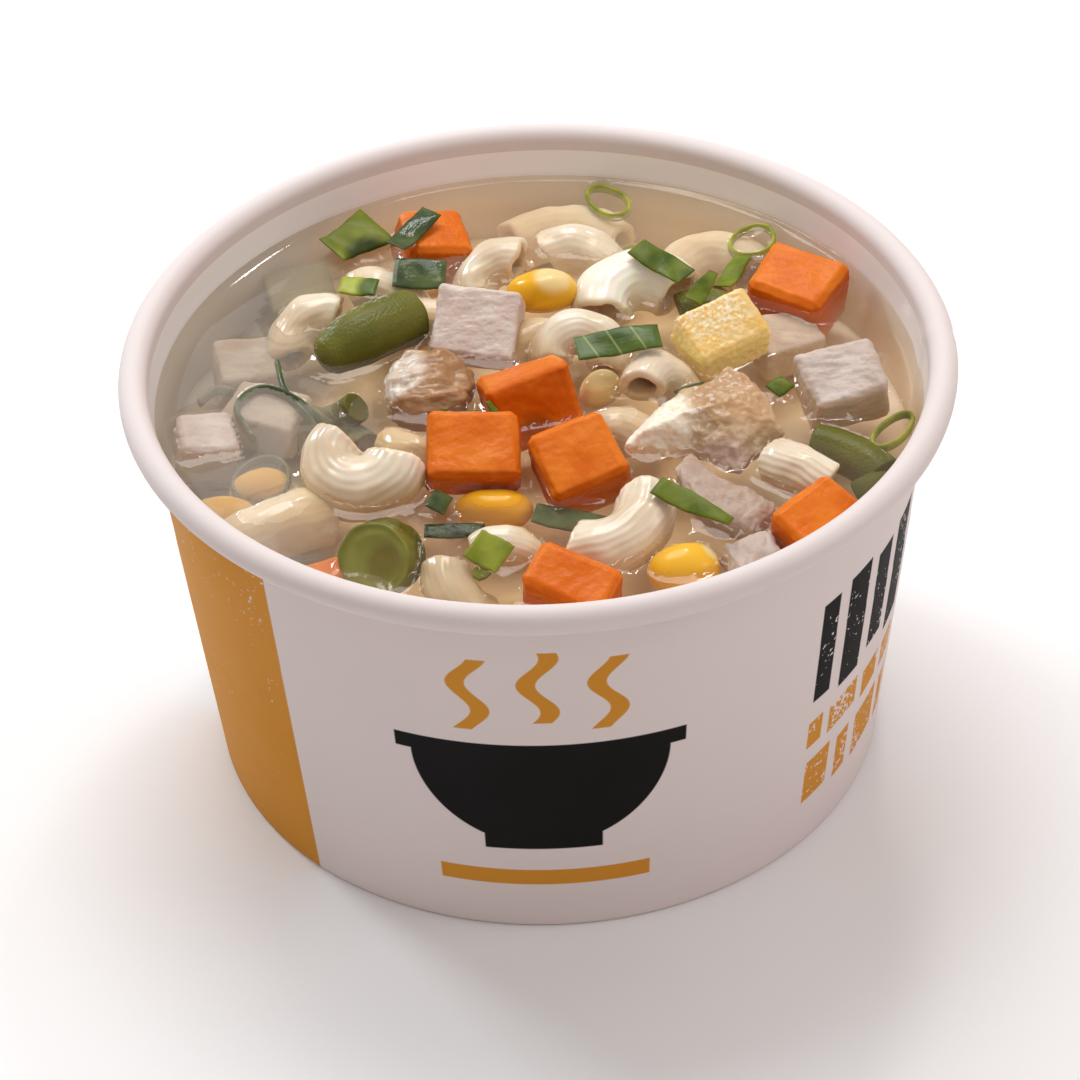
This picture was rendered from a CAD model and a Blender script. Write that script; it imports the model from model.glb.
import math

import bmesh
import bpy
import numpy as np
from mathutils import Euler, Matrix, Vector, noise
from mathutils.bvhtree import BVHTree


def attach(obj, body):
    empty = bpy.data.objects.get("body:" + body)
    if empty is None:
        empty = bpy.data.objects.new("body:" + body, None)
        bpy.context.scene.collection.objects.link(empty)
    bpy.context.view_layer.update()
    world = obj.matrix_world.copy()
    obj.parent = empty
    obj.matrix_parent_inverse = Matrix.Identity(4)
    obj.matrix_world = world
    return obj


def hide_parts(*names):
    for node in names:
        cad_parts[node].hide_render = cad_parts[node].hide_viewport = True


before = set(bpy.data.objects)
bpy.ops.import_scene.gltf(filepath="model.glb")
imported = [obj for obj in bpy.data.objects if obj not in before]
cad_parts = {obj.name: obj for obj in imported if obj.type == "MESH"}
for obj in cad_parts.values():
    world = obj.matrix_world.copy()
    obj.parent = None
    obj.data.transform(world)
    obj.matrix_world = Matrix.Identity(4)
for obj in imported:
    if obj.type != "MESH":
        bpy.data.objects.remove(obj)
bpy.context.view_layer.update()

MM = 0.001

# ----------------------------------------------------------
# The table and the light. A plain pale table top, lit by a big soft box behind the bowl, one at
# each side and two small ones far behind that shine in the stock. The viewer looks down into
# the bowl from the front.
scene = bpy.context.scene
scene.view_settings.view_transform = "Standard"
scene.view_settings.look = "None"

VIEW_RIGHT = (0.999353189, -0.0218207139, -0.0285842485)
VIEW_UP = (0.0359472508, 0.628240687, 0.777188159)
VIEW_BACK = (0.000998987504, -0.777712990, 0.628618729)


def add_item(name, data):
    """Data as an object of the scene."""
    item = bpy.data.objects.new(name, data)
    scene.collection.objects.link(item)
    return item


camera = add_item("camera", bpy.data.cameras.new("camera"))
camera.data.sensor_width = 36.0
camera.data.lens = 133.62
camera.data.clip_start = 0.05
camera.data.clip_end = 20.0
camera.matrix_world = (
    Matrix.Translation((0, -0.442862, 0.387749))
    @ Matrix((VIEW_RIGHT, VIEW_UP, VIEW_BACK)).transposed().to_4x4()
)
scene.camera = camera


def add_node(tree, kind, inputs, **settings):
    """One node; each input takes a plain value or the socket that feeds it."""
    made = tree.nodes.new(kind)
    for key, value in settings.items():
        setattr(made, key, value)
    for key, value in inputs.items():
        if isinstance(value, bpy.types.NodeSocket):
            tree.links.new(value, made.inputs[key])
        else:
            made.inputs[key].default_value = value
    return made


def feed(node, name, socket):
    """Lets a socket drive one input of a node."""
    node.id_data.links.new(socket, node.inputs[name])


def add_after(kind, inputs, **settings):
    """One node in the tree of the sockets that feed it."""
    sockets = [value for value in inputs.values() if isinstance(value, bpy.types.NodeSocket)]
    return add_node(sockets[0].id_data, kind, inputs, **settings)


def calc(operation, *values):
    """The result socket of one Math node."""
    return add_after("ShaderNodeMath", dict(enumerate(values)), operation=operation).outputs[0]


FIRST_COLOUR, SECOND_COLOUR = 6, 7


def tint(amount, first, second):
    """The colour socket of a mix of two colours."""
    parts = {0: amount, FIRST_COLOUR: first, SECOND_COLOUR: second}
    return add_after("ShaderNodeMix", parts, data_type="RGBA").outputs[2]


def split(vector):
    """The sockets of a vector's three parts."""
    return add_after("ShaderNodeSeparateXYZ", {0: vector}).outputs


def place_in(tree, kind="Object"):
    """The socket of the place on the piece, in metres unless another kind is asked for."""
    return add_node(tree, "ShaderNodeTexCoord", {}).outputs[kind]


def grain_of(where, scale, detail):
    """The socket of a noise, which is finer the larger its scale is."""
    wanted = {"Vector": where, "Scale": scale, "Detail": detail}
    return add_after("ShaderNodeTexNoise", wanted).outputs["Fac"]


def ramp(value, low, high, out_low=0.0, out_high=1.0, smooth=True):
    """A value eased from one range into another."""
    kind = "SMOOTHSTEP" if smooth else "LINEAR"
    spread = {"Value": value, "From Min": low, "From Max": high, "To Min": out_low, "To Max": out_high}
    return add_after("ShaderNodeMapRange", spread, interpolation_type=kind).outputs[0]


sky = bpy.data.worlds.new("studio")
sky.use_nodes = True
tree = sky.node_tree
rightwards, _, upwards = split(place_in(tree, "Generated"))
low_wall = tint(ramp(rightwards, -0.8, 0.4), (0.20, 0.155, 0.142, 1), (0.43, 0.33, 0.305, 1))
room = tint(ramp(upwards, 0.30, 0.75), low_wall, (0.74, 0.725, 0.715, 1))
feed(tree.nodes["Background"], "Color", room)
scene.world = sky


def soft_light(name, at, size, watts, tint=(1, 1, 1)):
    """A square soft box aimed at the soup."""
    lamp = bpy.data.lights.new(name, "AREA")
    lamp.size = size
    lamp.energy = watts
    lamp.color = tint
    box = add_item(name, lamp)
    box.location = at
    box.rotation_euler = (Vector((0, 0, 0.05)) - Vector(at)).to_track_quat("-Z", "Y").to_euler()


soft_light("light_back", (-0.06, 0.34, 0.76), 0.36, 2.7)
soft_light("light_left", (-0.53, 0.48, 0.42), 0.16, 2.3, (0.80, 0.92, 1.0))
soft_light("light_right", (0.62, -0.10, 0.42), 0.26, 0.6)
soft_light("light_glint", (0.12, 0.42, 0.60), 0.07, 0.55)
soft_light("light_sheen", (-0.092, 0.72, 0.60), 0.075, 0.025, (0.93, 0.97, 1.0))


def add_piece(name, mesh, *finishes):
    """A mesh as an object at the origin, with its finishes and smooth shading."""
    for paint in finishes:
        mesh.materials.append(paint)
    mesh.polygons.foreach_set("use_smooth", [True] * len(mesh.polygons))
    return add_item(name, mesh)


def mesh_of(shape, name, near=None):
    """The built shape as a mesh; with a distance, places nearer than it are joined first."""
    if near:
        bmesh.ops.remove_doubles(shape, verts=shape.verts[:], dist=near)
        bmesh.ops.recalc_face_normals(shape, faces=shape.faces[:])
    mesh = bpy.data.meshes.new(name)
    shape.to_mesh(mesh)
    shape.free()
    return mesh


def new_finish(name, roughness):
    """A material with its node tree and its Principled shader."""
    paint = bpy.data.materials.new(name)
    paint.use_nodes = True
    shader = paint.node_tree.nodes["Principled BSDF"]
    shader.inputs["Roughness"].default_value = roughness
    return paint, paint.node_tree, shader


table_finish, tree, shader = new_finish("pale_table", 0.6)
table_grain = grain_of(place_in(tree, "Generated"), 14.0, 4.0)
feed(shader, "Base Color", tint(table_grain, (0.85, 0.835, 0.83, 1), (0.89, 0.88, 0.875, 1)))
sheet = bmesh.new()
bmesh.ops.create_grid(sheet, x_segments=8, y_segments=8, size=3.0)
table_mesh = mesh_of(sheet, "table")
add_piece("table", table_mesh, table_finish)

# ----------------------------------------------------------
# The bowl: coated white board, wound into a cone with a lap seam up its right side, its top
# edge rolled outwards into a bead and a disc set up inside its foot. The side is printed flat
# before it is wound: an amber band, a soup bowl sign in front and a row of worn bars.
BEAD_CENTRE = 55.5
BEAD_RADIUS = 1.96
BEAD_HEIGHT = 61.6
BOARD = 0.6
LEVEL = 55.6
AROUND = 300
SEAM = 92.0
GIRTH = 320.4
PRINT_TALL = 100.0
MERGE = 0.000001
AMBER = (0.66, 0.29, 0.032, 1)
INK = (0.006, 0.005, 0.005, 1)
BOARD_WHITE = (0.76, 0.675, 0.655, 1)
INSIDE_WHITE = (0.94, 0.905, 0.90, 1)
STOCK = (0.78, 0.61, 0.435, 1)
STOCK_LEFT = (0.52, 0.435, 0.345, 1)
STOCK_BACK = (0.95, 0.80, 0.59, 1)


def wall_radius(height):
    """The outer radius of the side at a height, in millimetres."""
    return 47.7 + 6.4 * height / 61.6


def bowl_outline():
    """Radius, height and side (0 outside, 1 inside) from the middle of the disc up, over and back."""
    outline = [(r, 5.6, 1) for r in np.linspace(0, wall_radius(5.6) - BOARD - 2.2, 12)]
    for turn in np.radians(np.linspace(-80, 0, 6)):
        outline.append((wall_radius(7.6) - BOARD - 2 + 2 * math.cos(turn), 7.6 + 2 * math.sin(turn), 1))
    outline += [(wall_radius(h) - BOARD, h, 1) for h in np.linspace(9, 60.6, 46)]
    for turn in np.radians(np.linspace(178, -112, 30)):
        bead = (BEAD_RADIUS * math.cos(turn), BEAD_RADIUS * math.sin(turn))
        outline.append((BEAD_CENTRE + bead[0], BEAD_HEIGHT + bead[1], 0))
    outline += [(wall_radius(59.4) + 0.25, 59.55, 0), (wall_radius(59.0) + 0.02, 59.0, 0)]
    outline += [(wall_radius(h), h, 0) for h in np.linspace(58, 0.9, 50)]
    outline += [(47.62, 0.35, 0), (47.35, 0.06, 0), (47.0, 0.0, 0), (46.4, 0.0, 0), (46.2, 0.2, 0)]
    outline += [(46.2, h, 0) for h in (1.5, 3.0, 4.9)]
    outline += [(r, 5.0, 0) for r in np.linspace(46.0, 0, 10)]
    return outline


def bowl_mesh():
    """The board turned round the axis, with the lap seam and slight waves of the winding."""
    outline = bowl_outline()
    shape = bmesh.new()
    rings = []
    for radius, height, side in outline:
        ring = []
        for step in range(AROUND):
            bearing = -180 + 360 * step / AROUND
            lean = math.radians(bearing)
            past = bearing - SEAM
            drop = 0.0
            if radius > 40 and side and height > 8:
                drop = 0.34 * max(0.0, 1 - past / 7.0) if past >= 0 else 0.0
            elif radius > 52:
                drop = 0.16 * math.exp(-(past / 0.9) ** 2)
            if height > 40 and radius > 45:
                spot = Vector((2.2 * math.sin(lean), 2.2 * math.cos(lean), height * 0.05))
                drop += 0.05 * (1 + noise.noise(spot))
            reach = radius - drop if radius > 40 else radius
            spot = Vector((reach * math.sin(lean), -reach * math.cos(lean), height))
            ring.append(shape.verts.new(spot * MM))
        rings.append(ring)
    prints = shape.loops.layers.uv.new("print")
    for index in range(len(rings) - 1):
        for step in range(AROUND):
            after = (step + 1) % AROUND
            low, high = rings[index], rings[index + 1]
            face = shape.faces.new((low[step], low[after], high[after], high[step]))
            face.material_index = outline[index][2] and outline[index + 1][2]
            spots = [(step, index), (step + 1, index), (step + 1, index + 1), (step, index + 1)]
            for corner, (column, row) in zip(face.loops, spots):
                corner[prints].uv = (column / AROUND, outline[row][1] / PRINT_TALL)
    return mesh_of(shape, "bowl_board", MERGE)


def within(value, middle, half, soft=0.12):
    """1 where a value lies within half of the middle, in millimetres."""
    away = calc("ABSOLUTE", calc("SUBTRACT", value, middle))
    return ramp(away, half + soft, half - soft)


def both(*masks):
    """The overlap of several masks."""
    result = masks[0]
    for mask in masks[1:]:
        result = calc("MULTIPLY", result, mask)
    return result


def either(*masks):
    """The union of several masks."""
    result = masks[0]
    for mask in masks[1:]:
        result = calc("MAXIMUM", result, mask)
    return result


def slanted_bar(across, up, left, width, low, high, lean):
    """A bar with upright ends that rises to the right."""
    lifted = calc("SUBTRACT", up, calc("MULTIPLY", calc("SUBTRACT", across, left), lean))
    side = within(across, left + width / 2, width / 2)
    return both(side, within(lifted, (low + high) / 2, (high - low) / 2))


def bump_of(height, strength, distance, **before):
    """The socket of a bump, over another one if given as Normal."""
    wanted = {"Height": height, "Strength": strength, "Distance": distance, **before}
    return add_after("ShaderNodeBump", wanted).outputs[0]


printed_board, tree, shader = new_finish("printed_board", 0.42)
flat_across, flat_up, _ = split(add_node(tree, "ShaderNodeUVMap", {}, uv_map="print").outputs[0])
across = calc("MULTIPLY_ADD", flat_across, GIRTH, -GIRTH / 2)
up = calc("MULTIPLY", flat_up, PRINT_TALL)
on_side = within(up, 29.6, 29.4)
band = both(ramp(across, -38.6, -38.9), ramp(across, -80.2, -79.9), on_side)

SIGN = -1.5
dish_x = calc("DIVIDE", calc("SUBTRACT", across, SIGN), 17.5)
dish_y = calc("DIVIDE", calc("SUBTRACT", up, 34.0), 17.0)
dish_out = calc("ADD", both(dish_x, dish_x), both(dish_y, dish_y))
dish = both(ramp(dish_out, 1.01, 0.98), ramp(up, 34.9, 34.5), ramp(up, 18.9, 19.1))
lip = both(within(across, SIGN, 19.6), within(up, 35.4, 1.4))
foot_mark = both(within(across, SIGN, 8.2), within(up, 17.9, 1.7))
sign_black = either(dish, lip, foot_mark)
sway = calc("MULTIPLY", calc("SINE", calc("MULTIPLY", up, 0.62)), 1.5)
swayed = calc("SUBTRACT", across, sway)
PUFFS = [(SIGN - 9, 46.0), (SIGN, 47.6), (SIGN + 9, 46.0)]
puffs = [both(within(swayed, puff, 1.25), within(up, tall, 6.6)) for puff, tall in PUFFS]
underline = both(within(across, SIGN, 15.0), within(up, 10.4, 1.5))
sign_amber = either(underline, *puffs)

TALL_BARS = [(39.6, 3.4, 29, 47), (45.2, 5.0, 28, 48), (52.4, 4.4, 30, 47), (59.0, 6.0, 28, 48)]
SHORT_BARS = [(39.4, 3.0, 20, 25), (44.0, 7.0, 20, 25), (53.0, 5.0, 20, 25), (60.0, 5.0, 20, 25),
              (39.8, 5.4, 9, 17), (47.2, 3.2, 9, 17), (52.6, 7.2, 9, 17), (62.0, 3.0, 9, 17)]
bars_black = [slanted_bar(across, up, *bar, 0.10) for bar in TALL_BARS]
bars_amber = [slanted_bar(across, up, *bar, 0.16) for bar in SHORT_BARS]
where = place_in(tree)
wear = calc("MULTIPLY_ADD", grain_of(where, 190.0, 3.0), 0.55, grain_of(where, 1500.0, 2.0))
chipped = ramp(calc("ADD", ramp(up, 38.0, 57.0, 0.0, 0.10), wear), 1.09, 1.04)
worn_amber = both(either(*bars_amber), ramp(wear, 0.93, 0.90))
worn_black = both(either(*bars_black), ramp(wear, 1.0, 0.95))
amber_mask = either(both(band, chipped), sign_amber, worn_amber)
black_mask = either(sign_black, worn_black)
mottle = grain_of(where, 60.0, 3.0)
board_tone = tint(mottle, BOARD_WHITE, (0.74, 0.66, 0.64, 1))
amber_tone = tint(mottle, AMBER, (0.60, 0.25, 0.027, 1))
colour = tint(amber_mask, board_tone, amber_tone)
feed(shader, "Base Color", tint(black_mask, colour, INK))
feed(shader, "Normal", bump_of(grain_of(where, 900.0, 4.0), 0.12, 0.0001))
feed(shader, "Roughness", ramp(mottle, 0.2, 0.8, 0.55, 0.68))
shader.inputs["Specular IOR Level"].default_value = 0.10


def towards_left(aside, tone):
    """The tone turned to that of the shaded stock near the left wall."""
    return tint(ramp(aside, -0.024, -0.038), tone, STOCK_LEFT)


inner_board, tree, shader = new_finish("inner_board", 0.38)
where = place_in(tree)
aside, _, height = split(where)
board_tone = tint(grain_of(where, 70.0, 3.0), INSIDE_WHITE, (0.92, 0.875, 0.865, 1))
wet = ramp(height, (LEVEL + 1.8) * MM, (LEVEL + 0.4) * MM, 0.0, 0.35)
board_tone = tint(wet, board_tone, (0.62, 0.50, 0.38, 1))
sunk = ramp(height, LEVEL * MM, (LEVEL - 5.6) * MM)
feed(shader, "Base Color", tint(sunk, board_tone, towards_left(aside, STOCK)))
shader.inputs["Coat Weight"].default_value = 0.3
shader.inputs["Coat Roughness"].default_value = 0.2


def dress(item, slot, *nodes):
    """The piece rides on the bowl, and stands for the solids it was made from."""
    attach(item, "root")
    if nodes:
        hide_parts(*nodes)
    return item


dress(add_piece("bowl_board", bowl_mesh(), printed_board, inner_board), "bowl_paper", "bowl")

# ----------------------------------------------------------
# Carrot dice: boiled root, cut by hand into blocks with soft edges and slightly hollow faces.
# They swim in the stock, wet and shiny above it and dulled by it below. One lies under it.
food = []


def place(*millimetres):
    """A place in the bowl, in metres."""
    return Vector(millimetres) * MM


def degrees(*angles):
    """A turn about X, then Y, then Z, in degrees."""
    return Euler([math.radians(angle) for angle in angles])


def set_down(at, turn):
    """The matrix that turns a piece and moves it to its place."""
    return Matrix.Translation(place(*at)) @ degrees(*turn).to_matrix().to_4x4()


def plain_mesh(item):
    """The item's mesh with its modifiers, as a new mesh; the item itself is removed."""
    bpy.context.view_layer.update()
    seen = item.evaluated_get(bpy.context.evaluated_depsgraph_get())
    mesh = bpy.data.meshes.new_from_object(seen)
    mesh.transform(item.matrix_world)
    mesh.materials.clear()
    bpy.data.objects.remove(item, do_unlink=True)
    return mesh


def modify(item, kind, **settings):
    """One more modifier with its settings."""
    made = item.modifiers.new(kind.lower(), kind)
    for key, value in settings.items():
        setattr(made, key, value)
    return made


def fine_skin(mesh, voxel, rounds):
    """A closed, even and fine skin over a coarse closed mesh."""
    item = add_item("rough", mesh)
    modify(item, "REMESH", mode="VOXEL", voxel_size=voxel * MM)
    modify(item, "SMOOTH", factor=0.5, iterations=rounds)
    return plain_mesh(item)


def solid_of(node):
    """The closed mesh of one solid of the bowl of soup."""
    shape = bmesh.new()
    shape.from_mesh(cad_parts[node].data)
    return mesh_of(shape, node, 0.000002)


def block_of(at, size, turn):
    """A closed block of the stated size, for a piece that lies under the stock."""
    shape = bmesh.new()
    bmesh.ops.create_cube(shape, size=1)
    bmesh.ops.bevel(shape, geom=shape.edges[:], offset=0.08, segments=2, affect="EDGES", profile=0.5)
    # The place is in metres already, so that MM scales only the sides.
    moved = set_down(at, turn) @ Matrix.Diagonal((*size, 1 / MM)) * MM
    moved[3][3] = 1.0
    shape.transform(moved)
    return mesh_of(shape, "block")


def roughen(mesh, rules):
    """Moves the skin along its normals; each rule is (depth mm, size mm, stretch, seed)."""
    moves = []
    for spot in mesh.vertices:
        lift = 0.0
        for depth, size, stretch, seed in rules:
            at = Vector([part * pull for part, pull in zip(spot.co, stretch)]) / (size * MM)
            lift += depth * noise.noise(at + Vector((seed, seed * 1.7, -seed)))
        moves.append(spot.normal * (lift * MM))
    for spot, move in zip(mesh.vertices, moves):
        spot.co += move


def cut_piece(mesh, voxel, rounds, rules):
    """A fine rough skin, marked with how steep it is, from 0 for level to 1 for upright."""
    skin = fine_skin(mesh, voxel, rounds)
    roughen(skin, rules)
    mark = skin.attributes.new("steep", "FLOAT", "POINT")
    mark.data.foreach_set("value", [1 - abs(spot.normal.z) for spot in skin.vertices])
    return skin


def wet_finish(name, deep, pale, patches, roughness, glow, bump=0.2, grain=900.0, warm=None,
               shine=0.22, steep=None):
    """Two tones in patches, deeper on steep sides or warmer near the stock if asked, fogged below it."""
    paint, tree, shader = new_finish(name, roughness)
    where = place_in(tree)
    aside, back, height = split(where)
    colour = tint(ramp(grain_of(where, patches, 5.0), 0.34, 0.66), deep, pale)
    if steep:
        lean = add_node(tree, "ShaderNodeAttribute", {}, attribute_name="steep").outputs["Fac"]
        colour = tint(ramp(lean, 0.35, 0.75), colour, steep)
    if warm:
        low = ramp(height, (LEVEL + 3.6) * MM, (LEVEL - 0.4) * MM, 0.0, 0.8)
        left_side = ramp(aside, -0.040, -0.026, 0.25, 1.0)
        right_side = ramp(aside, -0.004, 0.012, 1.0, 0.45)
        far_side = ramp(back, 0.012, 0.032, 1.0, 0.35)
        colour = tint(both(low, left_side, right_side, far_side), colour, warm)
    sunk = ramp(height, (LEVEL - 0.3) * MM, (LEVEL - 9.6) * MM, smooth=False)
    fog = calc("POWER", sunk, ramp(aside, -0.018, -0.042, 1.5, 0.6))
    depth = tint(ramp(back, 0.006, 0.032), STOCK, STOCK_BACK)
    fogged = tint(fog, colour, towards_left(aside, depth))
    feed(shader, "Base Color", fogged)
    under = ramp(height, (LEVEL + 0.3) * MM, (LEVEL - 0.5) * MM)
    feed(shader, "Roughness", ramp(under, 0, 1, roughness, 0.75, smooth=False))
    feed(shader, "Normal", bump_of(grain_of(where, grain, 4.0), bump, 0.0003))
    shader.inputs["Subsurface Weight"].default_value = glow
    shader.inputs["Subsurface Radius"].default_value = (1.0, 0.45, 0.2)
    shader.inputs["Subsurface Scale"].default_value = 0.0016
    shader.inputs["Specular IOR Level"].default_value = shine
    return paint, tree, shader, fogged.node


def paint_over(finish, share, colour):
    """One more colour over a finish, before the stock fogs it."""
    fogging = finish[3]
    before = fogging.inputs[FIRST_COLOUR].links[0].from_socket
    feed(fogging, FIRST_COLOUR, tint(share, before, colour))


def vector_calc(operation, inputs):
    """The result sockets of one Vector Math node."""
    return add_after("ShaderNodeVectorMath", inputs, operation=operation).outputs


def near_place(finish, middle, reach, core, share):
    """A share that fades from the core of a round spot to its reach, both in millimetres."""
    away = vector_calc("DISTANCE", {0: place_in(finish[1]), 1: place(*middle)})["Value"]
    return ramp(away, reach * MM, core * MM, 0.0, share)


def tone_round(finish, middle, reach, colour, share=1.0):
    """One more tone round a place in millimetres."""
    paint_over(finish, near_place(finish, middle, reach, reach * 0.55, share), colour)


def add_food(name, mesh, finish, slot, node=None):
    """A finished piece of food, kept in the list that the stock closes round."""
    food.append(dress(add_piece(name, mesh, finish[0]), slot, *([node] if node else [])))


carrot_flesh = wet_finish("carrot_flesh", (0.66, 0.135, 0.006, 1), (0.76, 0.20, 0.016, 1), 150.0, 0.30,
                          0.30, 0.35, 1500.0, shine=0.12, steep=(0.60, 0.110, 0.003, 1))
tone_round(carrot_flesh, (0.0, -8.6, 55.6), 3.8, (0.30, 0.065, 0.004, 1), 0.75)
EVEN = (1, 1, 1)
for number in range(1, 8):
    rules = [(0.24, 4.5, EVEN, number), (0.07, 1.1, EVEN, number + 9)]
    dice = cut_piece(solid_of(f"carrot_{number}"), 0.24, 1, rules)
    add_food(f"carrot_dice_{number}", dice, carrot_flesh, "carrot", f"carrot_{number}")
sunk_block = block_of((-28.1, -36.2, 51.4), (11.0, 7.5, 6.0), (8, 4, 24))
sunk_dice = cut_piece(sunk_block, 0.5, 3, [(0.3, 4.5, EVEN, 31)])
add_food("carrot_dice_sunk", sunk_dice, carrot_flesh, "carrot")

# ----------------------------------------------------------
# Sweetcorn: plump yellow grains with a taut shiny skin and a pale tip where they left the cob.
# Two more lie under the stock at the left.
NARROW_END = 0.62
ROUNDING_LOSS = 1.22


def kernel_mesh(at, size, turn):
    """A plump wedge, narrow where it sat on the cob."""
    shape = bmesh.new()
    bmesh.ops.create_cube(shape, size=1)
    for corner in shape.verts:
        corner.co.y *= NARROW_END if corner.co.x < 0 else 1.0
        corner.co = Vector([corner.co[axis] * size[axis] * MM * ROUNDING_LOSS for axis in range(3)])
    shape.transform(set_down(at, turn))
    item = add_item("kernel", mesh_of(shape, "kernel"))
    modify(item, "SUBSURF", levels=5, render_levels=5)
    return plain_mesh(item)


def corn_finish(name, tip, reach):
    """Yellow skin round a pale tip at one place."""
    finish = wet_finish(name, (0.76, 0.39, 0.014, 1), (0.84, 0.49, 0.04, 1), 130.0, 0.16, 0.35, 0.05,
                        700.0, warm=(0.82, 0.38, 0.014, 1))
    tone_round(finish, tip, reach, (0.82, 0.62, 0.28, 1))
    return finish


KERNELS = [
    ("sweetcorn_1", (1.1, 22.4, 57.2), (9.8, 9.0, 6.0), (20, 10, 165), (2.6, 21.6, 60.2), 3.4),
    ("sweetcorn_2", (-6.5, -22.6, 53.5), (10.5, 6.6, 5.4), (6, 0, -6), (-30, -30, 0), 1.0),
    ("sweetcorn_3", (18.1, -37.3, 54.3), (9.6, 8.0, 6.0), (15, 0, 16), (22.0, -36.0, 56.0), 2.0),
    ("sweetcorn_4", (8.5, 2.7, 54.1), (6.2, 5.8, 5.0), (12, 0, 30), (9.0, 2.0, 56.4), 6.0),
    (None, (-38.2, -14.3, 51.6), (8.6, 7.8, 5.6), (8, 0, 10), (0, 0, 0), 1.0),
    (None, (-43.0, -20.6, 52.2), (9.4, 7.0, 5.6), (6, 0, -12), (0, 0, 0), 1.0),
]
for number, (node, at, size, turn, tip, reach) in enumerate(KERNELS, 1):
    grain_mesh = kernel_mesh(at, size, turn)
    roughen(grain_mesh, [(0.22, 3.4, EVEN, number)])
    skin = corn_finish(f"corn_skin_{number}", tip, reach)
    add_food(f"sweetcorn_grain_{number}", grain_mesh, skin, "sweetcorn", node)

# ----------------------------------------------------------
# One block of swede: boiled root, paler than the carrot and clear gold at its smooth sides. Its
# upper cut face is rough and glistens with stock.


def glisten(finish, middle, reach, share, grain=1500.0, low=0.52, high=0.64):
    """Pale wet specks scattered round a place in millimetres."""
    near = near_place(finish, middle, reach, reach * 0.4, share)
    specks = ramp(grain_of(place_in(finish[1]), grain, 3.0), low, high)
    paint_over(finish, both(near, specks), (0.96, 0.93, 0.86, 1))


swede_flesh = wet_finish("swede_flesh", (0.80, 0.52, 0.15, 1), (0.80, 0.58, 0.24, 1), 300.0, 0.17, 0.6,
                         0.5, 1400.0, steep=(1.0, 0.78, 0.30, 1))
glisten(swede_flesh, (23.6, 11.0, 62.4), 8.0, 0.6, 1700.0, 0.50, 0.60)
rules = [(0.14, 3.5, EVEN, 3), (0.10, 0.8, EVEN, 5), (0.10, 0.5, EVEN, 6)]
swede_dice = cut_piece(solid_of("swede_1"), 0.24, 1, rules)
add_food("swede_dice_1", swede_dice, swede_flesh, "swede", "swede_1")

# ----------------------------------------------------------
# Green beans: pods cut into short lengths, olive from boiling, with a shiny ribbed skin. The
# one in front shows its cut end, with the skin, the wall of the pod and the seed inside.


def bent(start, middle, end, count):
    """Places spaced evenly along the round bend through three places, in millimetres."""
    start, middle, end = (Vector(spot) for spot in (start, middle, end))
    first = middle - start
    second = end - start
    axis = first.cross(second)
    to_centre = axis.cross(first) * second.length_squared + second.cross(axis) * first.length_squared
    centre = start + to_centre / (2 * axis.length_squared)
    spoke = start - centre
    last = end - centre
    sweep = math.atan2(axis.normalized().dot(spoke.cross(last)), spoke.dot(last)) % math.tau
    return np.array([centre + Matrix.Rotation(sweep * t, 3, axis) @ spoke for t in np.linspace(0, 1, count)])


def frames_of(path, closed=False):
    """The direction, the level side and the upright at each place of a path."""
    if closed:
        ahead = np.roll(path, -1, 0) - np.roll(path, 1, 0)
    else:
        ahead = np.gradient(path, axis=0)
    ahead /= np.linalg.norm(ahead, axis=1)[:, None]
    side = np.cross(ahead, (0, 0, 1.0))
    side /= np.linalg.norm(side, axis=1)[:, None]
    return ahead, side, np.cross(side, ahead)


def loft(rings, closed=False):
    """A closed skin over a row of rings of places in millimetres."""
    rings = np.asarray(rings)
    rows, columns, _ = rings.shape
    shape = bmesh.new()
    spots = [shape.verts.new(spot) for spot in (rings.reshape(-1, 3) * MM)]
    for row in range(rows if closed else rows - 1):
        low, high = row * columns, (row + 1) % rows * columns
        for column in range(columns):
            after = (column + 1) % columns
            corners = (low + column, low + after, high + after, high + column)
            shape.faces.new([spots[corner] for corner in corners])
    if not closed:
        shape.faces.new(spots[:columns])
        shape.faces.new(spots[-columns:])
    return mesh_of(shape, "loft", 0.0000005)


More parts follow.
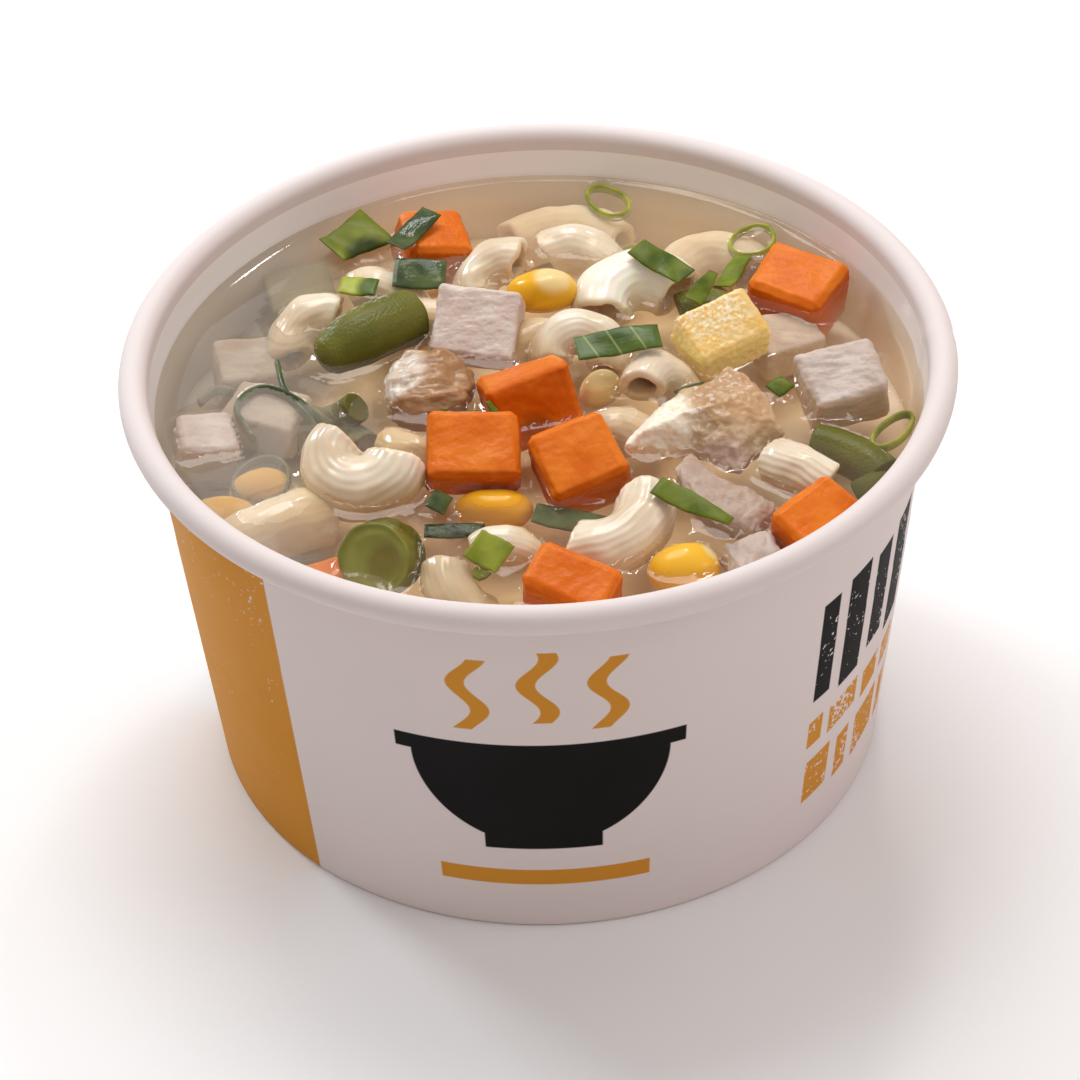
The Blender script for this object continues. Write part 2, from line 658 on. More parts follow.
def pod_mesh(seed, start, middle, end, radius, taper=0.0, hollow=0.0):
    """A length of pod with square cut ends; hollow sinks the first end's middle round its seed."""
    last = 39
    path = bent(start, middle, end, last + 1)
    ahead, side, upright = frames_of(path)
    turn = np.linspace(0, math.tau, 64, endpoint=False)
    ribs = 1 + 0.035 * np.cos(2 * turn + 0.6) + 0.012 * np.cos(7 * turn + seed)
    rings = []

    def ring(index, share, shift):
        out = radius * share * ribs
        middle = path[index] + ahead[index] * shift
        if index == 0:
            middle = middle + (side[0] * 0.5 - upright[0] * 0.16) * (hollow * radius * (1 - share))
        rings.append(middle + side[index] * (out * np.cos(turn))[:, None]
                     + upright[index] * (out * np.sin(turn))[:, None])

    def thinning(t):
        """How far the pod narrows towards its first end."""
        return 1 - taper * (1 - math.sin(math.pi / 2 * min(1.0, t / 0.4)))

    open_face = [(0.0, -0.34), (0.14, -0.36), (0.28, -0.33), (0.42, -0.26), (0.54, -0.14), (0.63, 0.02),
                 (0.68, 0.14), (0.73, 0.17), (0.79, 0.13), (0.85, 0.12), (0.90, 0.17), (0.945, 0.24),
                 (0.98, 0.18), (1.0, 0.0)]
    cut_face = [(0.0, -0.10), (0.3, -0.12), (0.6, -0.08), (0.8, 0.02), (0.92, 0.08), (0.98, 0.04),
                (1.0, 0.0)]
    blunt_face = [(math.sin(t), math.cos(t)) for t in np.linspace(0, math.pi / 2, 9)]
    face = open_face if hollow else blunt_face if taper else cut_face
    reach = 1.0 if hollow or not taper else radius * 0.55
    for share, rise in face:
        ring(0, share * thinning(0), -rise * reach)
    for index in range(1, last):
        ring(index, thinning(index / last), 0.0)
    for share, rise in reversed(cut_face):
        ring(last, share, rise)
    mesh = loft(rings)
    roughen(mesh, [(0.05, 2.6, EVEN, seed), (0.02 + 0.30 * hollow, 1.0, (1, 0.35, 0.5), seed + 4)])
    return mesh


bean_skin = wet_finish("bean_skin", (0.112, 0.115, 0.010, 1), (0.162, 0.156, 0.022, 1), 150.0, 0.20, 0.1,
                       0.5, 2600.0, warm=(0.080, 0.072, 0.010, 1))
for ridge in ((-29.0, 13.0, 60.0), (-26.0, 15.0, 61.0), (-22.6, 17.2, 61.2)):
    glisten(bean_skin, ridge, 2.6, 0.5, 1900.0, 0.48, 0.62)
pod_wall = wet_finish("pod_wall", (0.075, 0.08, 0.01, 1), (0.10, 0.10, 0.015, 1), 300, 0.14, 0.2, 0.2, 700)
tone_round(pod_wall, (-22.0, -37.2, 57.4), 6.6, (0.25, 0.25, 0.055, 1), 0.9)
tone_round(pod_wall, (-20.6, -37.6, 56.8), 3.6, (0.17, 0.135, 0.03, 1), 0.8)
glisten(pod_wall, (-21.4, -41.0, 55.8), 2.6, 0.6, 700.0, 0.50, 0.58)
PODS = [
    ("green_bean_1", bean_skin, (-28.7, 10.0, 56.6), (-23.2, 13.4, 57.6), (-17.8, 17.6, 56.9), 4.0, 0.22),
    ("green_bean_2", pod_wall, (-22.3, -37.0, 57.4), (-21.4, -34.8, 55.6), (-20.8, -31.0, 53.6), 5.0, 0, 0.5),
    ("green_bean_3", bean_skin, (37.6, -10.6, 53.2), (42.2, -13.6, 53.4), (46.0, -17.6, 52.8), 2.9),
    ("green_bean_4", bean_skin, (20.9, 20.0, 53.6), (24.2, 20.3, 54.0), (27.6, 19.2, 53.4), 3.3),
    ("green_bean_5", bean_skin, (-32.7, 1.7, 50.4), (-28.6, 0.2, 52.2), (-25.2, -0.9, 55.2), 2.2),
    (None, bean_skin, (-37.0, 3.6, 49.4), (-31.0, 0.6, 49.8), (-25.0, -4.4, 49.4), 3.6),
    (None, pod_wall, (42.6, -21.4, 52.6), (44.4, -20.8, 53.2), (45.8, -19.8, 52.8), 2.2),
]
for number, (node, skin, *form) in enumerate(PODS, 1):
    add_food(f"bean_length_{number}", pod_mesh(number, *form), skin, "green_bean", node)
flat_pod = fine_skin(block_of((-33.8, 31.6, 51.0), (9.6, 9.4, 4.4), (4, -3, 12)), 0.4, 1)
roughen(flat_pod, [(0.2, 4.0, EVEN, 21)])
add_food("bean_length_sunk", flat_pod, bean_skin, "green_bean")

# ----------------------------------------------------------
# Chicken: poached breast cut into cubes with a fine grain, and torn pieces, two of them tanned
# on the outside by frying before they went into the pot. Three cubes lie under the stock.


def meat_finish(name, deep, pale, line, grain_turn, roughness=0.38, lines=0.6, shine=0.2, steep=None):
    """Meat in two tones, with finer and darker lines that run along its grain."""
    finish = wet_finish(name, deep, pale, 230.0, roughness, 0.25, 0.45, 1500.0, shine=shine, steep=steep)
    _, tree, shader, _ = finish
    drawn_out = {"Vector": place_in(tree), "Rotation": degrees(*grain_turn), "Scale": (170, 1300, 900)}
    strands = grain_of(add_after("ShaderNodeMapping", drawn_out).outputs[0], 1.0, 5.0)
    paint_over(finish, ramp(strands, 0.53, 0.66, 0.0, lines), line)
    first = shader.inputs["Normal"].links[0].from_socket
    feed(shader, "Normal", bump_of(strands, min(0.5, 2 * lines), 0.0005, Normal=first))
    return finish


PALE = (0.70, 0.60, 0.53, 1)
WHITE = (0.62, 0.49, 0.42, 1)
VEIN = (0.36, 0.20, 0.15, 1)
cube_meat = meat_finish("cube_meat", WHITE, PALE, VEIN, (0, 0, -52), lines=0.13)
far_meat = meat_finish("far_meat", (0.52, 0.41, 0.345, 1), (0.60, 0.50, 0.44, 1), VEIN, (10, 0, 20),
                       lines=0.12, steep=(0.64, 0.48, 0.35, 1))
strip_meat = meat_finish("strip_meat", (0.40, 0.28, 0.21, 1), (0.50, 0.375, 0.295, 1), VEIN, (0, 20, -58),
                         lines=0.15)
skin_meat = meat_finish("skin_meat", (0.33, 0.155, 0.055, 1), (0.44, 0.245, 0.11, 1),
                        (0.30, 0.15, 0.07, 1), (0, 0, -20), 0.20, 0.3, 0.5)
tone_round(skin_meat, (-19.6, 2.6, 58.4), 5.6, (0.66, 0.53, 0.42, 1), 0.9)
glisten(skin_meat, (-19.4, 2.0, 58.0), 4.6, 0.6, 800.0)
fried_meat = meat_finish("fried_meat", (0.52, 0.35, 0.19, 1), (0.66, 0.49, 0.31, 1),
                         (0.44, 0.27, 0.13, 1), (0, 0, -24), 0.24, 0.15, 0.4)
tone_round(fried_meat, (25.6, -8.2, 61.0), 6.6, (0.44, 0.235, 0.095, 1), 0.8)
tone_round(fried_meat, (29.6, -10.2, 60.4), 4.6, (0.60, 0.37, 0.19, 1), 0.7)
tone_round(fried_meat, (24.6, -17.4, 55.4), 5.0, (0.62, 0.45, 0.37, 1), 0.9)
tone_round(fried_meat, (15.4, -11.0, 57.4), 7.0, (0.98, 0.89, 0.71, 1), 0.9)
glisten(fried_meat, (18.0, -10.0, 58.6), 9.0, 0.5, 1100.0)
glisten(fried_meat, (28.0, -6.0, 61.0), 6.0, 0.35, 1400.0)

GRAIN_CUBE = [(0.16, 3.2, EVEN, 1), (0.12, 1.0, (0.6, 1, 1), 2), (0.07, 0.45, EVEN, 3)]
GRAIN_ROUGH = [(0.75, 3.0, EVEN, 4), (0.45, 1.2, (0.5, 1, 1), 7), (0.14, 0.5, (0.6, 1, 1), 9)]
GRAIN_FAR = [(0.35, 3.2, EVEN, 24), (0.16, 0.9, (0.4, 1, 1), 27), (0.07, 0.45, (0.6, 1, 1), 29)]
GRAIN_SKIN = [(0.40, 3.6, EVEN, 34), (0.26, 1.3, (1, 0.6, 1), 37), (0.16, 0.6, EVEN, 39)]
GRAIN_TORN = [(0.40, 3.2, EVEN, 14), (0.30, 0.9, (1, 0.45, 1), 17), (0.12, 0.45, (1, 0.5, 1), 19)]
MEATS = [
    (cube_meat, "chicken", 0.26, 2, GRAIN_CUBE),
    (skin_meat, "browned_chicken", 0.28, 2, GRAIN_ROUGH),
    (fried_meat, "browned_chicken", 0.26, 2, GRAIN_SKIN),
    (strip_meat, "chicken", 0.26, 4, GRAIN_TORN),
    (far_meat, "chicken", 0.26, 2, GRAIN_FAR),
    (far_meat, "chicken", 0.26, 2, GRAIN_FAR),
    (far_meat, "chicken", 0.28, 1, GRAIN_TORN),
]
for number, (meat, slot, voxel, rounds, rules) in enumerate(MEATS, 1):
    chunk = cut_piece(solid_of(f"chicken_{number}"), voxel, rounds, rules)
    add_food(f"chicken_chunk_{number}", chunk, meat, slot, f"chicken_{number}")
SUNK_MEATS = [
    ((35.1, 15.0, 51.8), (9.5, 8.0, 6.0), (10, 0, 20)),
    ((-37.8, 2.0, 51.4), (11.0, 8.0, 6.0), (6, 0, -24)),
    ((-41.1, 14.1, 50.6), (9.0, 9.0, 6.0), (6, 6, 12)),
]
for number, (at, size, turn) in enumerate(SUNK_MEATS, 1):
    chunk = cut_piece(block_of(at, size, turn), 0.45, 2, GRAIN_FAR[:2])
    add_food(f"chicken_chunk_sunk_{number}", chunk, far_meat, "chicken")

# ----------------------------------------------------------
# Elbow macaroni: ridged tubes of wheat paste, bent while soft and swollen by the stock. Every
# elbow is one run of the same rule: a ridged ring carried round a bend through three places.
# Six of them lie under the stock.
BEND_STEPS = 20
RING_STEPS = 72
PASTE_WALL = 1.4
RIDGES = 22.0


def elbow_rule():
    """A node group: a ridged tube round the bend through Start, Middle and End."""
    group = bpy.data.node_groups.new("elbow_macaroni", "GeometryNodeTree")
    group.interface.new_socket("Geometry", in_out="OUTPUT", socket_type="NodeSocketGeometry")
    sockets = {}
    kinds = {"Vector": ("Start", "Middle", "End"), "Material": ("Paste",),
             "Float": ("Radius", "Ridges", "Ridge Depth", "Swell", "Seed")}
    for kind, labels in kinds.items():
        for label in labels:
            made = group.interface.new_socket(label, in_out="INPUT", socket_type="NodeSocket" + kind)
            sockets[label] = made.identifier
    source = group.nodes.new("NodeGroupInput").outputs
    through = {label: source[label] for label in kinds["Vector"]}
    bend = add_after("GeometryNodeCurveArc", {**through, "Resolution": BEND_STEPS}, mode="POINTS")
    along = group.nodes.new("GeometryNodeSplineParameter").outputs["Factor"]
    hump = calc("SINE", calc("MULTIPLY", along, math.pi))
    width = calc("MULTIPLY_ADD", hump, source["Swell"], 1.0)
    sized = add_after("GeometryNodeSetCurveRadius", {"Curve": bend.outputs["Curve"], "Radius": width})
    round_wire = {"Resolution": RING_STEPS, "Radius": source["Radius"]}
    ring = add_after("GeometryNodeCurvePrimitiveCircle", round_wire)
    spot = group.nodes.new("GeometryNodeInputPosition").outputs[0]
    right, up, _ = split(spot)
    bearing = calc("ARCTAN2", up, right)
    wave = calc("COSINE", calc("MULTIPLY", bearing, source["Ridges"]))
    push = calc("MULTIPLY", wave, source["Ridge Depth"])
    outwards = vector_calc("NORMALIZE", {0: spot})[0]
    lift = vector_calc("SCALE", {0: outwards, "Scale": push})[0]
    ridged = add_after("GeometryNodeSetPosition", {"Geometry": ring.outputs["Curve"], "Offset": lift})
    drawn = {"Curve": sized.outputs[0], "Profile Curve": ridged.outputs[0], "Fill Caps": False}
    tube = add_after("GeometryNodeCurveToMesh", drawn)
    uneven = {"Vector": spot, "W": source["Seed"], "Scale": 240.0, "Detail": 1.0}
    lumps = add_after("ShaderNodeTexNoise", uneven, noise_dimensions="4D")
    centred = vector_calc("SUBTRACT", {0: lumps.outputs["Color"], 1: (0.5, 0.5, 0.5)})[0]
    sway = vector_calc("SCALE", {0: centred, "Scale": 0.0016})[0]
    soft = add_after("GeometryNodeSetPosition", {"Geometry": tube.outputs[0], "Offset": sway})
    whole = add_after("GeometryNodeRealizeInstances", {"Geometry": soft.outputs[0]})
    dressed = {"Geometry": whole.outputs[0], "Material": source["Paste"]}
    painted = add_after("GeometryNodeSetMaterial", dressed)
    group.links.new(painted.outputs[0], group.nodes.new("NodeGroupOutput").inputs[0])
    return group, sockets


paste = wet_finish("wheat_paste", (0.71, 0.575, 0.41, 1), (0.81, 0.71, 0.56, 1), 160.0, 0.15, 0.5, 0.04,
                   600.0, warm=(0.62, 0.42, 0.19, 1), shine=0.4)
tone_round(paste, (-10.6, -41.6, 56.0), 8.5, (0.54, 0.41, 0.24, 1), 0.75)
tone_round(paste, (14.0, 23.6, 59.0), 10.0, (0.98, 0.90, 0.77, 1), 0.85)
elbow_group, elbow_inputs = elbow_rule()


def elbow_mesh(start, middle, end, radius, depth, seed):
    """One elbow, with its wall thickened inwards and its lips rounded."""
    item = add_item("elbow", bpy.data.meshes.new("elbow"))
    shape = modify(item, "NODES", node_group=elbow_group)
    values = {"Start": place(*start), "Middle": place(*middle), "End": place(*end), "Radius": radius * MM,
              "Ridges": RIDGES, "Ridge Depth": depth * MM, "Swell": 0.05, "Seed": seed, "Paste": paste[0]}
    for label, value in values.items():
        shape[elbow_inputs[label]] = value
    modify(item, "SOLIDIFY", thickness=PASTE_WALL * MM, offset=-1)
    modify(item, "SUBSURF", levels=1, render_levels=1)
    return plain_mesh(item)


ELBOWS = [
    ("macaroni_01", (-26.6, -12.0, 57.6), (-26.2, -18.6, 55.2), (-19.5, -16.4, 57.4), 4.5),
    ("macaroni_02", (4.2, -33.4, 54.4), (11.6, -32.0, 56.0), (13.6, -25.4, 56.4), 4.1),
    ("macaroni_03", (31.9, -17.2, 55.2), (34.7, -20.0, 56.0), (38.2, -22.2, 55.2), 3.5),
    ("macaroni_04", (-12.9, -38.0, 56.0), (-11.8, -42.2, 54.4), (-7.8, -43.2, 51.6), 3.4),
    ("macaroni_05", (-8.2, -33.8, 54.8), (-4.8, -33.4, 55.8), (-2.0, -33.8, 53.4), 2.7),
    ("macaroni_06", (9.2, 19.8, 54.2), (14.3, 25.6, 56.3), (20.3, 23.6, 54.8), 4.4),
    ("macaroni_07", (1.8, 9.9, 53.4), (7.5, 13.2, 56.2), (9.6, 8.4, 53.0), 3.2),
    ("macaroni_08", (14.3, -0.4, 56.4), (17.0, 4.2, 55.4), (20.3, 2.0, 50.4), 3.2),
    ("macaroni_09", (-2.0, 31.1, 56.0), (-5.7, 31.6, 55.6), (-8.7, 27.2, 52.6), 3.4),
    ("macaroni_10", (1.8, 36.1, 53.4), (8.4, 36.0, 54.0), (11.2, 32.0, 50.0), 3.4),
    ("macaroni_11", (-28.1, 21.0, 54.6), (-33.0, 20.5, 54.4), (-34.7, 15.6, 51.4), 3.4),
    ("macaroni_12", (-26.1, 28.4, 53.4), (-21.8, 27.8, 54.4), (-17.4, 26.0, 51.4), 3.2),
    ("macaroni_13", (-19.8, -7.4, 52.4), (-17.4, -10.0, 53.4), (-13.8, -9.8, 50.4), 3.2),
    (None, (20.0, 33.6, 50.2), (25.4, 37.4, 51.2), (31.8, 34.0, 50.0), 4.0),
    (None, (-3.0, 43.6, 50.0), (4.6, 46.0, 50.8), (12.6, 42.6, 50.0), 4.0),
    (None, (-42.6, -26.6, 50.6), (-36.0, -23.6, 52.2), (-29.6, -20.0, 51.4), 4.2),
    (None, (-19.6, 21.0, 51.0), (-15.6, 22.4, 52.6), (-12.0, 19.8, 51.2), 3.4),
    (None, (-3.6, 13.0, 51.4), (0.4, 15.6, 53.2), (4.4, 15.8, 51.4), 3.4),
    (None, (6.8, -7.0, 51.4), (11.0, -5.4, 53.0), (14.4, -7.2, 51.4), 3.2),
]
RIDGE_DEPTHS = {"macaroni_01": 0.075, "macaroni_02": 0.06, "macaroni_03": 0.08, "macaroni_06": 0.07}
for number, (node, start, middle, end, radius) in enumerate(ELBOWS, 1):
    elbow = elbow_mesh(start, middle, end, radius, RIDGE_DEPTHS.get(node, 0.03), number * 1.37)
    add_food(f"elbow_{number:02d}", elbow, paste, "macaroni", node)

# ----------------------------------------------------------
# Spring onion and leek: snips of thin green leaf with fine veins along them, and rings cut
# across the stalk. Some float on top, some lie across other pieces and some hang below.
LEAF_THICK = 0.5


def leaf_mesh(at, size, turn, bend, wave=0.5, point=0.0):
    """A snip of leaf as a thin closed sheet, waved along its length."""
    rows, columns = 44, 16
    turned = degrees(*turn).to_matrix()
    rings = []
    for row in range(rows + 1):
        along = row / rows - 0.5
        narrow = 1 - point * max(0.0, along + 0.1)
        edge = 0.03 * noise.noise(Vector((along * 7, size[0], size[1])))
        ring = []
        for column in range(2 * columns):
            upper = column < columns
            share = column / (columns - 1) if upper else (2 * columns - 1 - column) / (columns - 1)
            across = share - 0.5
            lift = bend * (along * along - 0.08) + 0.5 * wave * math.sin(6.5 * along + 2.2 * across)
            rib = 0.035 * math.cos(across * 44)
            half = LEAF_THICK / 2 * (1 - 0.55 * (2 * abs(across)) ** 4)
            half *= min(1.0, 0.35 + 9 * (0.5 - abs(along)))
            lift += (half + rib) if upper else (rib - half)
            spot = Vector((along * size[0], (across + edge) * size[1] * narrow, lift))
            ring.append(turned @ spot + Vector(at))
        rings.append(ring)
    return loft(rings)


def smooth_path(places, count):
    """Places read off a smooth line through the given ones."""
    knots = np.array(places, float)
    knots = np.vstack([2 * knots[0] - knots[1], knots, 2 * knots[-1] - knots[-2]])
    spans = len(knots) - 3
    path = []
    for t in np.linspace(0, spans, count):
        index = min(int(t), spans - 1)
        u = t - index
        a, b, c, d = knots[index:index + 4]
        curl = (2 * a - 5 * b + 4 * c - d) * u * u + (3 * b - a - 3 * c + d) * u ** 3
        path.append(0.5 * (2 * b + (c - a) * u + curl))
    return np.array(path)


def ribbon_mesh(path, half_wall, half_height, closed=False):
    """A thin band on edge that follows a path, such as a ring of onion."""
    _, side, upright = frames_of(path, closed)
    turn = np.linspace(0, math.tau, 14, endpoint=False)
    wide, tall = (half_wall * np.cos(turn))[:, None], (half_height * np.sin(turn))[:, None]
    return loft([spot + s * wide + u * tall for spot, s, u in zip(path, side, upright)], closed)


def oval_path(at, radii, turn):
    """An oval lying flat, slightly uneven, turned and set in its place."""
    turned = degrees(*turn).to_matrix()
    path = []
    for bearing in np.linspace(0, math.tau, 72, endpoint=False):
        swell = 1 + 0.05 * math.sin(2 * bearing + at[0]) + 0.03 * math.sin(3 * bearing + at[1])
        spot = Vector((radii[0] * swell * math.cos(bearing), radii[1] * swell * math.sin(bearing), 0))
        path.append(turned @ spot + Vector(at))
    return np.array(path)


def vein_lines(finish, at, turn, places, colour):
    """Pale lines across a leaf, at places in millimetres along it."""
    local = vector_calc("SUBTRACT", {0: place_in(finish[1]), 1: place(*at)})[0]
    lean = degrees(*turn).to_matrix() @ Vector((0.94, 0.34, 0.0)) / MM
    along = vector_calc("DOT_PRODUCT", {0: local, 1: lean})["Value"]
    lines = either(*[within(along, spot, 0.13, 0.1) for spot in places])
    paint_over(finish, calc("MULTIPLY", lines, 0.55), colour)


def leaf_finish(name, deep, pale, roughness, glow=0.1, bump=0.25, patches=190.0, grain=800.0, shine=0.22):
    """Leaf in two greens, in patches."""
    return wet_finish(name, (*deep, 1), (*pale, 1), patches, roughness, glow, bump, grain, shine=shine)


green_leaf = leaf_finish("onion_green", (0.055, 0.088, 0.009), (0.145, 0.180, 0.022), 0.30, shine=0.08)
bright_leaf = leaf_finish("onion_bright", (0.125, 0.17, 0.014), (0.25, 0.275, 0.035), 0.30, 0.15, shine=0.08)
dark_leaf = leaf_finish("leek_dark", (0.035, 0.055, 0.018), (0.095, 0.125, 0.04), 0.15, 0.05, 0.35, 240, 900)
black_leaf = leaf_finish("leek_black", (0.018, 0.026, 0.005), (0.04, 0.055, 0.01), 0.20, 0.05, 0.5, 500, 1400)
veined = leaf_finish("onion_veined", (0.040, 0.075, 0.010), (0.095, 0.150, 0.022), 0.28)
vein_lines(veined, (11.2, 4.6, 60.8), (18, -3, 8), (-3.6, -0.6, 2.6), (0.36, 0.42, 0.14, 1))
far_tip = leaf_finish("onion_far_tip", (0.125, 0.155, 0.012), (0.20, 0.225, 0.026), 0.28, 0.15, shine=0.08)
tone_round(far_tip, (-23.6, 33.4, 57.2), 4.4, (0.035, 0.050, 0.008, 1))
two_tone = leaf_finish("onion_two_tone", (0.30, 0.33, 0.016), (0.40, 0.43, 0.04), 0.28, 0.15, 0.2)
tone_round(two_tone, (-22.6, 22.2, 59.0), 3.4, (0.07, 0.115, 0.008, 1))
ring_green = leaf_finish("ring_green", (0.22, 0.26, 0.016), (0.38, 0.40, 0.05), 0.26, 0.2, 0.1, 300.0)

LEAVES = [
    ("onion_leaf_01", green_leaf, (18.0, 21.8, 61.8), (10.5, 3.4), (20, 0, -50), 1.2),
    ("onion_leaf_02", veined, (11.2, 4.6, 60.8), (11.8, 4.2), (18, -3, 8), -0.8),
    ("onion_leaf_03", bright_leaf, (28.4, 26.9, 56.1), (8.5, 2.6), (0, 2, 66), 0.6),
    ("onion_leaf_04", green_leaf, (19.8, -31.4, 60.4), (11.5, 3.2), (14, 8, -33), 0.8, 0.3, 0.9),
    ("onion_leaf_05", bright_leaf, (-7.2, -39.0, 59.7), (5.2, 4.6), (24, 6, -36), 0.4, 0.3),
    ("onion_leaf_06", far_tip, (-25.8, 36.7, 57.6), (9.0, 5.5), (16, 0, 42), 0.6, 0.4, -0.8),
    ("onion_leaf_07", dark_leaf, (-17.2, 34.6, 60.1), (10.0, 3.2), (12, 0, 58), 1.5, 0.3),
    ("onion_leaf_08", dark_leaf, (-16.4, 26.9, 57.7), (7.5, 5.0), (22, 4, -4), 0.6, 0.4),
    ("onion_leaf_09", two_tone, (-25.0, 23.0, 58.7), (5.4, 3.4), (10, 0, -12), 0.6, 0.2),
    ("onion_leaf_10", dark_leaf, (-13.7, -24.9, 57.2), (4.8, 2.8), (26, 10, 74), -0.8, 0.2),
    ("onion_leaf_11", black_leaf, (-11.8, -29.3, 55.6), (8.0, 2.4), (10, 0, -2), 0.3, 0.2),
    ("onion_leaf_12", green_leaf, (33.2, -1.0, 56.3), (3.0, 2.8), (12, -6, 40), 0.3, 0.2),
    ("onion_leaf_13", green_leaf, (23.6, 16.6, 61.0), (7.6, 2.6), (18, 0, 64), 0.6, 0.2, 0.8),
    ("onion_leaf_14", dark_leaf, (-10.9, -7.0, 56.9), (5.6, 3.0), (24, 0, 14), 0.4, 0.2, 0.5),
    ("leek_strip_1", dark_leaf, (3.4, -26.7, 54.7), (9.6, 3.4), (14, 3, -16), 0.6, 0.3),
    (None, dark_leaf, (21.2, 0.6, 54.9), (4.6, 2.2), (0, 0, 24), 0.3, 0.2),
    (None, dark_leaf, (14.6, -22.2, 54.7), (4.4, 3.6), (6, 0, 30), 0.3, 0.2, 0.4),
    (None, green_leaf, (-6.0, -7.6, 58.6), (3.6, 0.9), (0, 30, -52), 0.5, 0.2),
    (None, green_leaf, (-13.4, -8.6, 58.2), (3.4, 1.0), (0, -30, 74), 0.8, 0.3),
    (None, bright_leaf, (-8.2, -36.6, 54.4), (3.4, 2.4), (0, 0, 40), 0.3, 0.2, 0.5),
]
for number, (node, leaf, at, size, turn, *form) in enumerate(LEAVES, 1):
    slot = "leek" if leaf in (dark_leaf, black_leaf) else "spring_onion"
    add_food(f"leaf_snip_{number:02d}", leaf_mesh(at, size, turn, *form), leaf, slot, node)

RINGS = [
    ("onion_ring_1", ring_green, (11.2, 46.6, 55.4), (2.7, 4.0), (0, 0, 30)),
    ("onion_ring_2", ring_green, (31.7, 34.8, 55.6), (3.0, 3.6), (4, -4, -20)),
    (None, ring_green, (48.0, -10.0, 54.6), (1.9, 4.2), (0, 0, -38)),
    (None, ring_green, (14.4, 34.6, 54.2), (2.6, 1.8), (0, 0, 10)),
    (None, dark_leaf, (-38.0, -14.0, 52.8), (3.8, 5.2), (0, 0, 0)),
]
for number, (node, green, at, radii, turn) in enumerate(RINGS, 1):
    hoop = ribbon_mesh(oval_path(at, radii, turn), 0.34, 0.7, closed=True)
    add_food(f"onion_hoop_{number}", hoop, green, "spring_onion", node)

STRANDS = [
    [(-39.4, -5.4, 53.8), (-41.8, 0.4, 54.7), (-38.6, 4.2, 55.0), (-33.6, 1.4, 55.0), (-28.6, -4.6, 54.2)],
    [(-36.4, 9.8, 55.2), (-35.2, 3.6, 55.0), (-32.4, -1.2, 54.6), (-29.6, -5.6, 53.4)],
    [(-47.4, 5.2, 52.4), (-45.0, 7.6, 52.6), (-41.6, 7.0, 52.2)],
]
for number, knots in enumerate(STRANDS, 1):
    strand = ribbon_mesh(smooth_path(knots, 60), 0.45, 0.85)
    add_food(f"leek_strand_{number}", strand, dark_leaf, "leek")

# ----------------------------------------------------------
# The stock: clear and golden on top, where it climbs a little up the wall and up every piece
# that stands out of it, and cloudy with fat and starch further down.
STEP = 0.46
ROW = 0.866
POOL = wall_radius(LEVEL) - 0.25
WALL_CLIMB = 0.9
PIECE_CLIMB = 1.15
WALL_FADE = 1.2
PIECE_FADE = 1.1


def tree_of_food():
    """One tree of every piece's faces, to find how near a piece is."""
    places, faces = [], []
    for item in food:
        start = len(places)
        places += [spot.co.copy() for spot in item.data.vertices]
        faces += [[start + corner for corner in face.vertices] for face in item.data.polygons]
    return BVHTree.FromPolygons(places, faces)


def grid_place(i, j):
    """A corner of an even net of triangles, in millimetres."""
    return (i + 0.5 * (j % 2)) * STEP, j * STEP * ROW


def stock_surface():
    """The top of the stock, fine enough for its curved edges, closed by a side and a bottom."""
    near_food = tree_of_food()
    half = int(POOL / STEP) + 1
    shape = bmesh.new()
    spots = {}

    def top_of_food(spot):
        """How far the food over a place stands above the stock, in millimetres."""
        hit = near_food.ray_cast(Vector((spot.x, spot.y, (LEVEL + 9) * MM)), Vector((0, 0, -1)), 0.011)[0]
        return hit.z / MM - LEVEL if hit else -1.0

    def spot_at(i, j):
        if (i, j) not in spots:
            x, y = grid_place(i, j)
            out = math.hypot(x, y)
            if out > POOL:
                x, y = x * POOL / out, y * POOL / out
            here = Vector((x, y, LEVEL)) * MM
            rise = WALL_CLIMB * math.exp(-max(0.0, POOL - 0.35 - out) / WALL_FADE)
            touched, normal, _, away = near_food.find_nearest(here, 5.0 * MM)
            if touched is not None and touched.z > (LEVEL - 0.9) * MM:
                tall = min(PIECE_CLIMB, max(0.1, 0.8 * top_of_food(touched - normal * 0.4 * MM)))
                rise = max(rise, tall * math.exp(-away / MM / PIECE_FADE))
            covered = top_of_food(here)
            if covered > 0.05:
                rise = min(rise, covered - 0.3)
            ripple = 0.05 * noise.noise(Vector((x * 0.12, y * 0.12, 0.3)))
            spots[i, j] = shape.verts.new((x * MM, y * MM, (LEVEL + rise + ripple) * MM))
        return spots[i, j]

    rows = int(half / ROW) + 2
    for j in range(-rows, rows):
        shift = j % 2
        for i in range(-half - 1, half + 1):
            this, after = (i, j), (i + 1, j)
            above, above_after = (i + shift, j + 1), (i + shift + 1, j + 1)
            for trio in ((this, after, above), (above, after, above_after)):
                if min(math.hypot(*grid_place(*corner)) for corner in trio) < POOL:
                    shape.faces.new([spot_at(*corner) for corner in trio])
    rim = [edge for edge in shape.edges if edge.is_boundary]
    side = bmesh.ops.extrude_edge_only(shape, edges=rim)["geom"]
    for spot in side:
        if isinstance(spot, bmesh.types.BMVert):
            spot.co.z = (LEVEL - 14) * MM
            spot.co.x *= 0.968
            spot.co.y *= 0.968
    bmesh.ops.holes_fill(shape, edges=[edge for edge in shape.edges if edge.is_boundary])
    return mesh_of(shape, "stock_clear", MERGE)


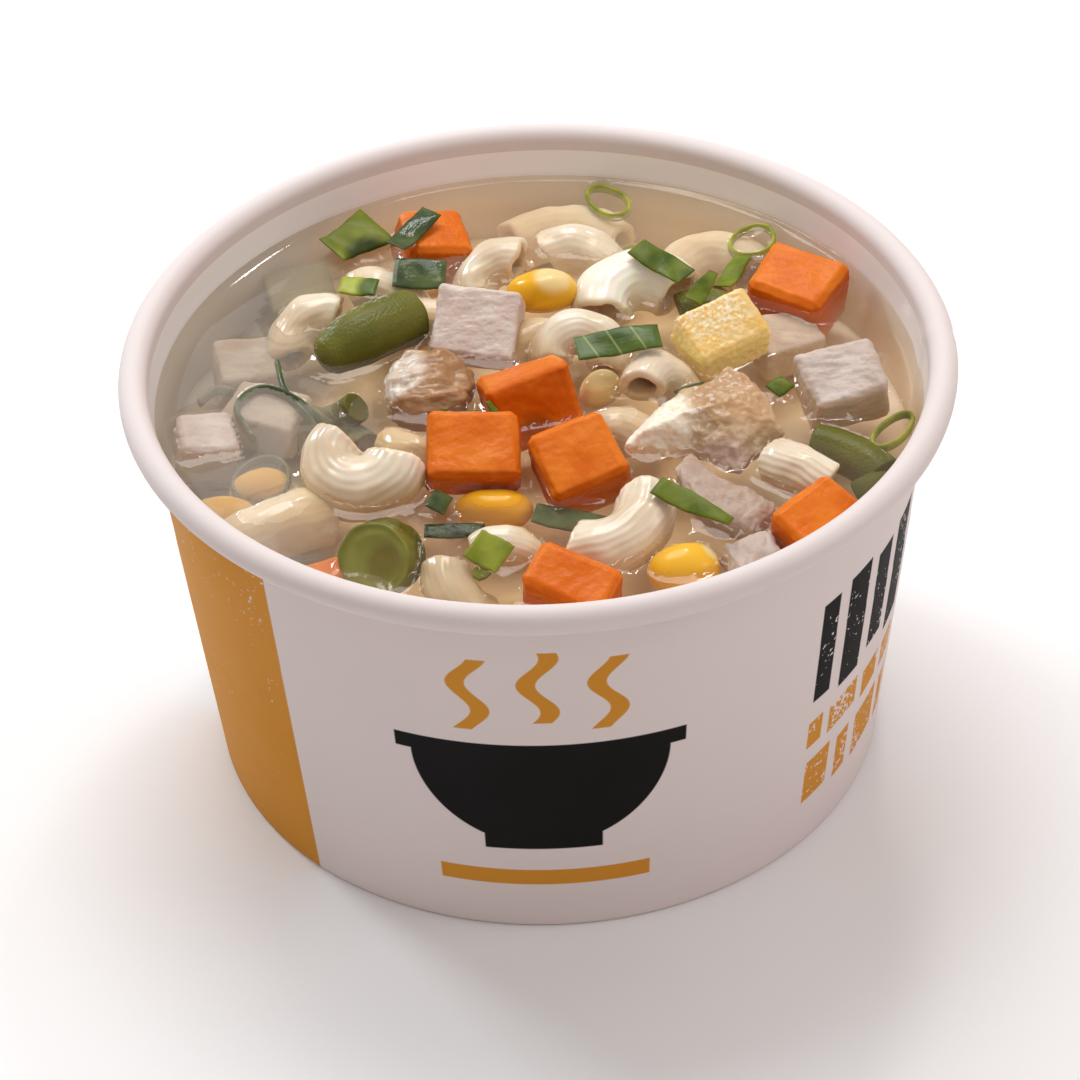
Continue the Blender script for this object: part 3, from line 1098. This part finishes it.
clear_stock, tree, shader = new_finish("clear_stock", 0.3)
aside, back, _ = split(place_in(tree))
leftwards = ramp(aside, -0.022, -0.038)
feed(shader, "Base Color", tint(leftwards, (0.86, 0.68, 0.46, 1), (0.53, 0.46, 0.38, 1)))
misty = calc("MULTIPLY_ADD", leftwards, 0.22, ramp(back, 0.018, 0.038, 0.02, 0.16))
shader.inputs["Specular IOR Level"].default_value = 0.0
let_through = add_node(tree, "ShaderNodeBsdfTransparent", {"Color": (0.985, 0.95, 0.885, 1)})
hazy = add_after("ShaderNodeMixShader", {0: misty, 1: let_through.outputs[0], 2: shader.outputs[0]})
gloss = add_node(tree, "ShaderNodeBsdfGlossy", {"Color": (1, 1, 1, 1), "Roughness": 0.035})
facing = add_node(tree, "ShaderNodeLayerWeight", {"Blend": 0.5}).outputs["Facing"]
edge_light = calc("MULTIPLY_ADD", calc("POWER", facing, 5.0), 0.97, 0.024)
wet_top = add_after("ShaderNodeMixShader", {0: edge_light, 1: hazy.outputs[0], 2: gloss.outputs[0]})
feed(tree.nodes["Material Output"], "Surface", wet_top.outputs[0])
dress(add_piece("stock_clear", stock_surface(), clear_stock), "stock", "broth")


CLOUD_TOP = 46.2


def cloud_mesh():
    """The cloudy depth of the stock, a gently uneven top over a plug that fills the bowl."""
    top = [(radius, CLOUD_TOP) for radius in np.linspace(0, 52.0, 40)]
    rings = []
    for radius, height in top + [(46.9, 8.0), (30.0, 5.9), (0.0, 5.9)]:
        ring = []
        for bearing in np.radians(np.linspace(-180, 180, 96, endpoint=False)):
            x, y = radius * math.sin(bearing), -radius * math.cos(bearing)
            lift = 1.6 * noise.noise(Vector((x * 0.07, y * 0.07, 4.0))) if height == CLOUD_TOP else 0.0
            ring.append((x, y, height + lift))
        rings.append(ring)
    return loft(rings)


cloudy_stock, tree, shader = new_finish("cloudy_stock", 0.9)
where = place_in(tree)
aside, back, _ = split(where)
far = ramp(back, 0.0, 0.032)
depth_tone = tint(far, (0.79, 0.58, 0.36, 1), (1.0, 0.80, 0.51, 1))
thin_tone = tint(far, (0.81, 0.595, 0.365, 1), (0.96, 0.75, 0.50, 1))
milk = tint(grain_of(where, 38.0, 3.0), thin_tone, depth_tone)
right = both(ramp(aside, 0.035, 0.047), ramp(back, -0.004, 0.008))
milk = tint(right, milk, (1.0, 0.88, 0.76, 1))
shaded = both(ramp(aside, 0.018, 0.032), ramp(back, 0.010, 0.0))
milk = tint(shaded, milk, (0.60, 0.46, 0.32, 1))
feed(shader, "Base Color", towards_left(aside, milk))
shader.inputs["Specular IOR Level"].default_value = 0.0
dress(add_piece("stock_cloudy", cloud_mesh(), cloudy_stock), "stock", "broth")
